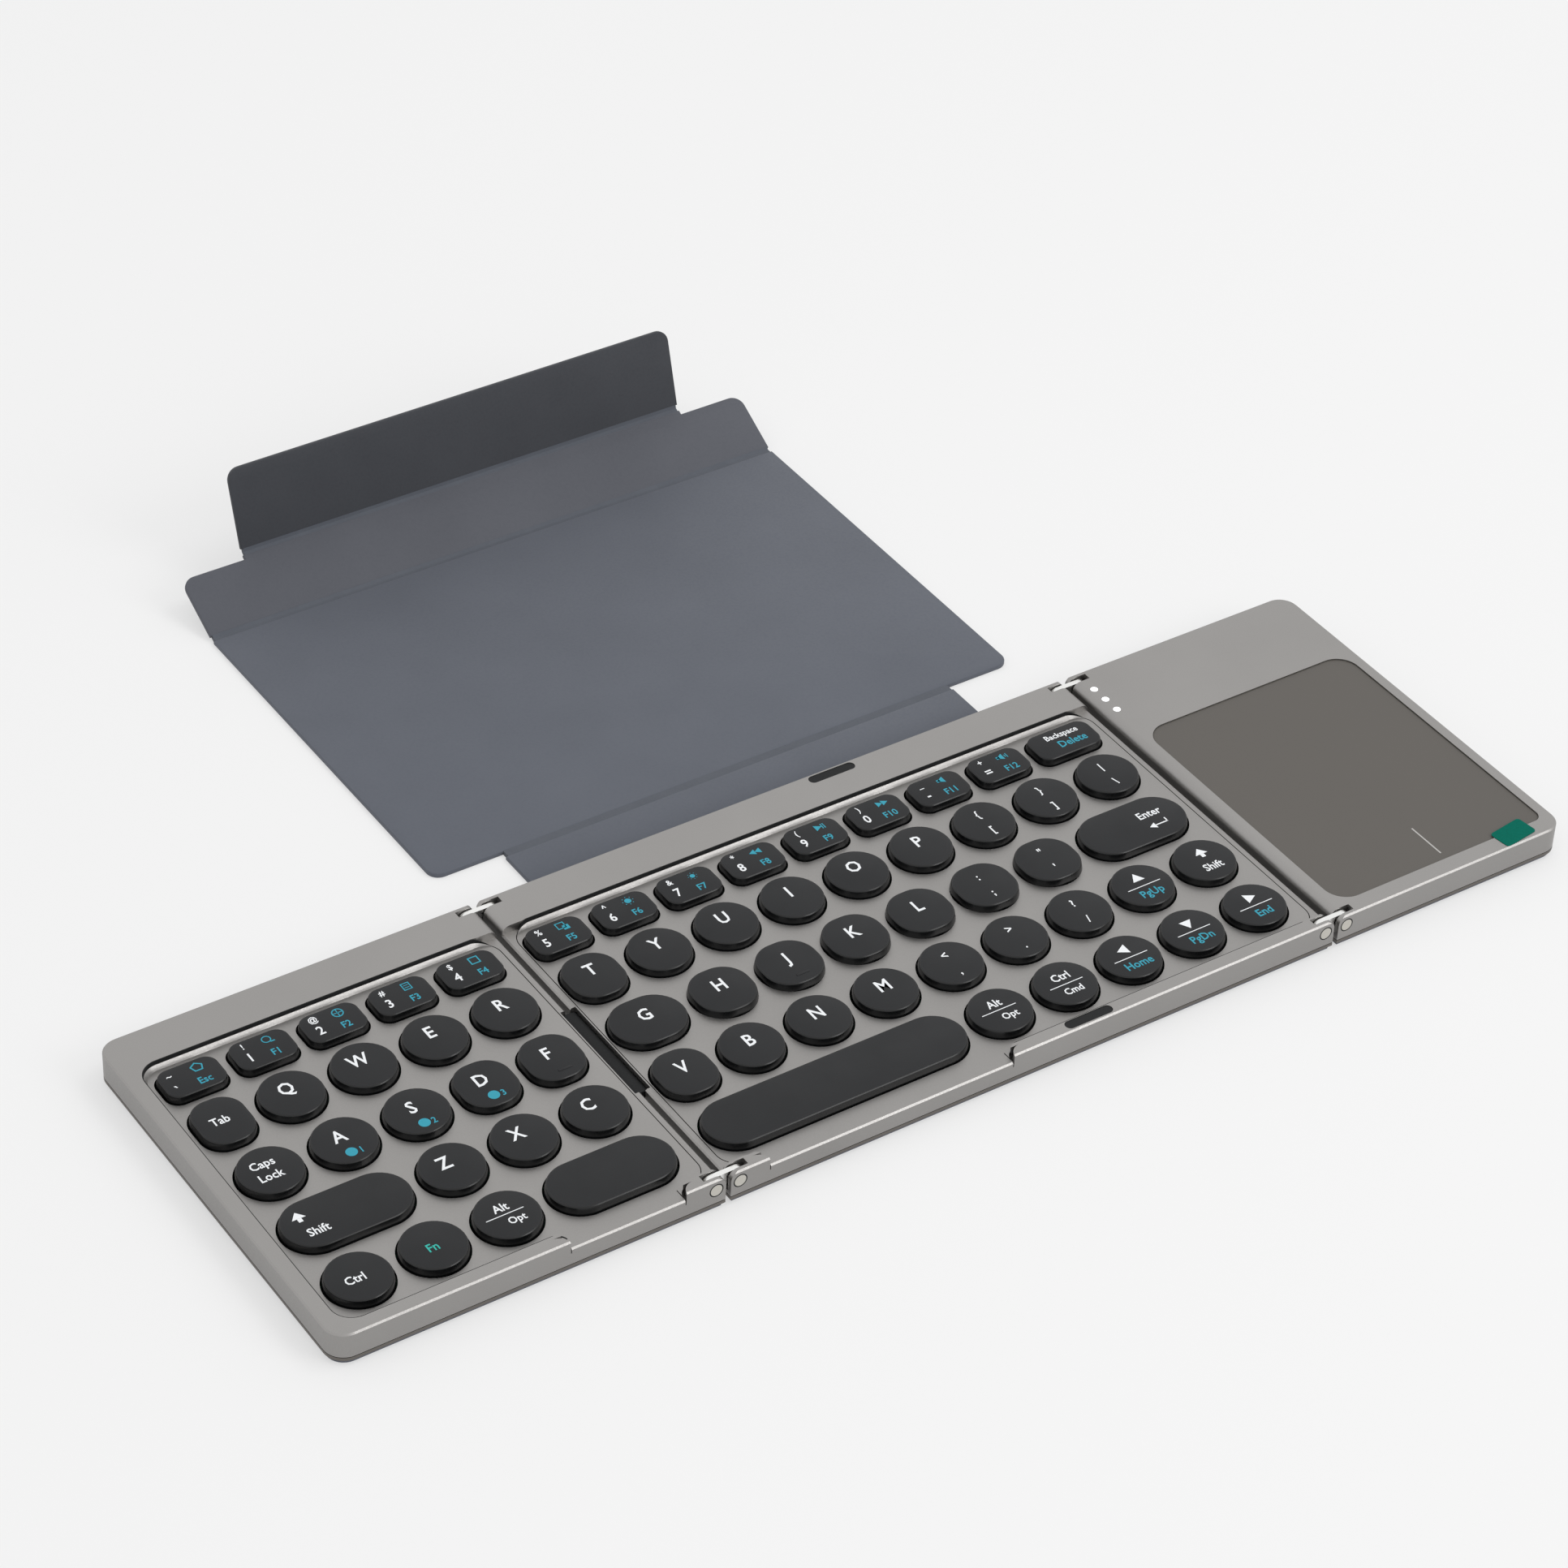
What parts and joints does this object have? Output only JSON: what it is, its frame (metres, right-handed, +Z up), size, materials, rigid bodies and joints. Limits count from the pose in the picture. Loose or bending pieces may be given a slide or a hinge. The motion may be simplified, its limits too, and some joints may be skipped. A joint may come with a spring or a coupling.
{
  "type": "folding keyboard",
  "caption": "Pocket keyboard of three hinged panels with round key tops, a touchpad and a wrap-around cover flap, laid open for typing.",
  "frame": {"origin": "on the table, under the centre of the middle panel's flat underside", "axes": "+X along the keyboard to the typist's right, +Y away from the typist towards the flap, +Z up out of the table"},
  "size_m": [0.3039, 0.2379, 0.0286],
  "materials": {
    "frame_metal": "satin",
    "tray_metal": "satin",
    "keycap": "fine matte",
    "cover_sheet": "fine grain, matte",
    "tongue_lining": "fine grain, matte",
    "hinge_steel": "polished",
    "socket_steel": "satin",
    "magnet": "plated",
    "soft_black": "matte",
    "pad_surface": "fine satin",
    "circuit_board": "lacquered",
    "battery_foil": "foil",
    "light_lens": "clear gloss",
    "green_film": "gloss"
  },
  "bodies": {
    "middle": {"middle_frame": "frame_metal", "middle_tray": "tray_metal", "middle_plate": "frame_metal", "middle_board": "circuit_board", "middle_cover": "cover_sheet", "rim_pads": "soft_black", "middle_pins": "hinge_steel"},
    "left_hinge": {"left_links": "hinge_steel", "cable_cover": "soft_black"},
    "left_wing": {"left_frame": "frame_metal", "left_tray": "tray_metal", "left_plate": "frame_metal", "left_board": "circuit_board", "left_cover": "cover_sheet", "left_pins": "hinge_steel"},
    "right_hinge": {"right_links": "hinge_steel"},
    "right_wing": {"right_frame": "frame_metal", "right_tray": "tray_metal", "right_cover": "cover_sheet", "right_pins": "hinge_steel", "battery": "battery_foil", "indicator_lights": "light_lens", "film_tab": "green_film", "charging_port": "socket_steel"},
    "touch_surface": {"touchpad": "pad_surface", "touch_board": "circuit_board"},
    "neck": {"flap_neck": "cover_sheet"},
    "panel": {"flap_panel": "cover_sheet"},
    "spine": {"flap_spine": "cover_sheet"},
    "tongue": {"flap_tongue": "tongue_lining", "tongue_magnets": "magnet"},
    "ctrl_key": {"ctrl_key": "keycap"},
    "fn_key": {"fn_key": "keycap"},
    "alt_key": {"alt_key": "keycap"},
    "left_space_key": {"left_space_key": "keycap"},
    "left_shift_key": {"left_shift_key": "keycap"},
    "zxc_keys": {"zxc_keys": "keycap"},
    "caps_key": {"caps_key": "keycap"},
    "asdf_keys": {"asdf_keys": "keycap"},
    "tab_key": {"tab_key": "keycap"},
    "qwer_keys": {"qwer_keys": "keycap"},
    "escape_key": {"escape_key": "keycap"},
    "digit_keys_1_4": {"digit_keys_1_4": "keycap"},
    "space_key": {"space_key": "keycap"},
    "option_key": {"option_key": "keycap"},
    "command_key": {"command_key": "keycap"},
    "left_arrow_key": {"left_arrow_key": "keycap"},
    "down_arrow_key": {"down_arrow_key": "keycap"},
    "right_arrow_key": {"right_arrow_key": "keycap"},
    "vbnm_keys": {"vbnm_keys": "keycap"},
    "up_arrow_key": {"up_arrow_key": "keycap"},
    "right_shift_key": {"right_shift_key": "keycap"},
    "ghjkl_keys": {"ghjkl_keys": "keycap"},
    "enter_key": {"enter_key": "keycap"},
    "tyuiop_keys": {"tyuiop_keys": "keycap"},
    "bracket_keys": {"bracket_keys": "keycap"},
    "digit_keys_5_0": {"digit_keys_5_0": "keycap"},
    "minus_equals_keys": {"minus_equals_keys": "keycap"},
    "backspace_key": {"backspace_key": "keycap"}
  },
  "joints": [
    {"name": "left_link_fold", "type": "hinge", "parent": "middle", "child": "left_hinge", "pos_m": [-0.07352, 0, 0.0054], "axis": [0, 1, 0], "range_deg": [0, 90]},
    {"name": "left_wing_fold", "type": "hinge", "parent": "left_hinge", "child": "left_wing", "pos_m": [-0.07913, 0, 0.0054], "axis": [0, 1, 0], "range_deg": [0, 90]},
    {"name": "right_link_fold", "type": "hinge", "parent": "middle", "child": "right_hinge", "pos_m": [0.07352, 0, 0.0054], "axis": [0, -1, 0], "range_deg": [0, 90]},
    {"name": "right_wing_fold", "type": "hinge", "parent": "right_hinge", "child": "right_wing", "pos_m": [0.07913, 0, 0.0054], "axis": [0, -1, 0], "range_deg": [0, 90]},
    {"name": "touchpad_click", "type": "hinge", "parent": "right_wing", "child": "touch_surface", "pos_m": [0.1081, 0.024, 0.0067], "axis": [1, 0, 0], "range_deg": [0, 0.251], "stiffness_Nm_per_rad": 9},
    {"name": "neck_fold", "type": "hinge", "parent": "middle", "child": "neck", "pos_m": [0, 0.0499, 0.0006], "axis": [1, 0, 0], "range_deg": [0, 90]},
    {"name": "panel_fold", "type": "hinge", "parent": "neck", "child": "panel", "pos_m": [0, 0.0666, 0.0006], "axis": [1, 0, 0], "range_deg": [0, 90]},
    {"name": "spine_fold", "type": "hinge", "parent": "panel", "child": "spine", "pos_m": [0, 0.1664, 0.0006], "axis": [1, 0, 0], "range_deg": [-28, 62]},
    {"name": "tongue_fold", "type": "hinge", "parent": "spine", "child": "tongue", "pos_m": [0, 0.18247, 0.00914], "axis": [1, 0, 0], "range_deg": [-45, 45]},
    {"name": "ctrl_press", "type": "slide", "parent": "left_wing", "child": "ctrl_key", "axis": [0, 0, -1], "range_m": [0, 0.0012], "stiffness_N_per_m": 400},
    {"name": "fn_press", "type": "slide", "parent": "left_wing", "child": "fn_key", "axis": [0, 0, -1], "range_m": [0, 0.0012], "stiffness_N_per_m": 400},
    {"name": "alt_press", "type": "slide", "parent": "left_wing", "child": "alt_key", "axis": [0, 0, -1], "range_m": [0, 0.0012], "stiffness_N_per_m": 400},
    {"name": "left_space_press", "type": "slide", "parent": "left_wing", "child": "left_space_key", "axis": [0, 0, -1], "range_m": [0, 0.0012], "stiffness_N_per_m": 400},
    {"name": "left_shift_press", "type": "slide", "parent": "left_wing", "child": "left_shift_key", "axis": [0, 0, -1], "range_m": [0, 0.0012], "stiffness_N_per_m": 400},
    {"name": "zxc_press", "type": "slide", "parent": "left_wing", "child": "zxc_keys", "axis": [0, 0, -1], "range_m": [0, 0.0012], "stiffness_N_per_m": 400},
    {"name": "caps_press", "type": "slide", "parent": "left_wing", "child": "caps_key", "axis": [0, 0, -1], "range_m": [0, 0.0012], "stiffness_N_per_m": 400},
    {"name": "asdf_press", "type": "slide", "parent": "left_wing", "child": "asdf_keys", "axis": [0, 0, -1], "range_m": [0, 0.0012], "stiffness_N_per_m": 400},
    {"name": "tab_press", "type": "slide", "parent": "left_wing", "child": "tab_key", "axis": [0, 0, -1], "range_m": [0, 0.0012], "stiffness_N_per_m": 400},
    {"name": "qwer_press", "type": "slide", "parent": "left_wing", "child": "qwer_keys", "axis": [0, 0, -1], "range_m": [0, 0.0012], "stiffness_N_per_m": 400},
    {"name": "escape_press", "type": "slide", "parent": "left_wing", "child": "escape_key", "axis": [0, 0, -1], "range_m": [0, 0.0012], "stiffness_N_per_m": 400},
    {"name": "digit_1_4_press", "type": "slide", "parent": "left_wing", "child": "digit_keys_1_4", "axis": [0, 0, -1], "range_m": [0, 0.0012], "stiffness_N_per_m": 400},
    {"name": "space_press", "type": "slide", "parent": "middle", "child": "space_key", "axis": [0, 0, -1], "range_m": [0, 0.0012], "stiffness_N_per_m": 400},
    {"name": "option_press", "type": "slide", "parent": "middle", "child": "option_key", "axis": [0, 0, -1], "range_m": [0, 0.0012], "stiffness_N_per_m": 400},
    {"name": "command_press", "type": "slide", "parent": "middle", "child": "command_key", "axis": [0, 0, -1], "range_m": [0, 0.0012], "stiffness_N_per_m": 400},
    {"name": "left_arrow_press", "type": "slide", "parent": "middle", "child": "left_arrow_key", "axis": [0, 0, -1], "range_m": [0, 0.0012], "stiffness_N_per_m": 400},
    {"name": "down_arrow_press", "type": "slide", "parent": "middle", "child": "down_arrow_key", "axis": [0, 0, -1], "range_m": [0, 0.0012], "stiffness_N_per_m": 400},
    {"name": "right_arrow_press", "type": "slide", "parent": "middle", "child": "right_arrow_key", "axis": [0, 0, -1], "range_m": [0, 0.0012], "stiffness_N_per_m": 400},
    {"name": "vbnm_press", "type": "slide", "parent": "middle", "child": "vbnm_keys", "axis": [0, 0, -1], "range_m": [0, 0.0012], "stiffness_N_per_m": 400},
    {"name": "up_arrow_press", "type": "slide", "parent": "middle", "child": "up_arrow_key", "axis": [0, 0, -1], "range_m": [0, 0.0012], "stiffness_N_per_m": 400},
    {"name": "right_shift_press", "type": "slide", "parent": "middle", "child": "right_shift_key", "axis": [0, 0, -1], "range_m": [0, 0.0012], "stiffness_N_per_m": 400},
    {"name": "ghjkl_press", "type": "slide", "parent": "middle", "child": "ghjkl_keys", "axis": [0, 0, -1], "range_m": [0, 0.0012], "stiffness_N_per_m": 400},
    {"name": "enter_press", "type": "slide", "parent": "middle", "child": "enter_key", "axis": [0, 0, -1], "range_m": [0, 0.0012], "stiffness_N_per_m": 400},
    {"name": "tyuiop_press", "type": "slide", "parent": "middle", "child": "tyuiop_keys", "axis": [0, 0, -1], "range_m": [0, 0.0012], "stiffness_N_per_m": 400},
    {"name": "bracket_press", "type": "slide", "parent": "middle", "child": "bracket_keys", "axis": [0, 0, -1], "range_m": [0, 0.0012], "stiffness_N_per_m": 400},
    {"name": "digit_5_0_press", "type": "slide", "parent": "middle", "child": "digit_keys_5_0", "axis": [0, 0, -1], "range_m": [0, 0.0012], "stiffness_N_per_m": 400},
    {"name": "minus_equals_press", "type": "slide", "parent": "middle", "child": "minus_equals_keys", "axis": [0, 0, -1], "range_m": [0, 0.0012], "stiffness_N_per_m": 400},
    {"name": "backspace_press", "type": "slide", "parent": "middle", "child": "backspace_key", "axis": [0, 0, -1], "range_m": [0, 0.0012], "stiffness_N_per_m": 400}
  ]
}
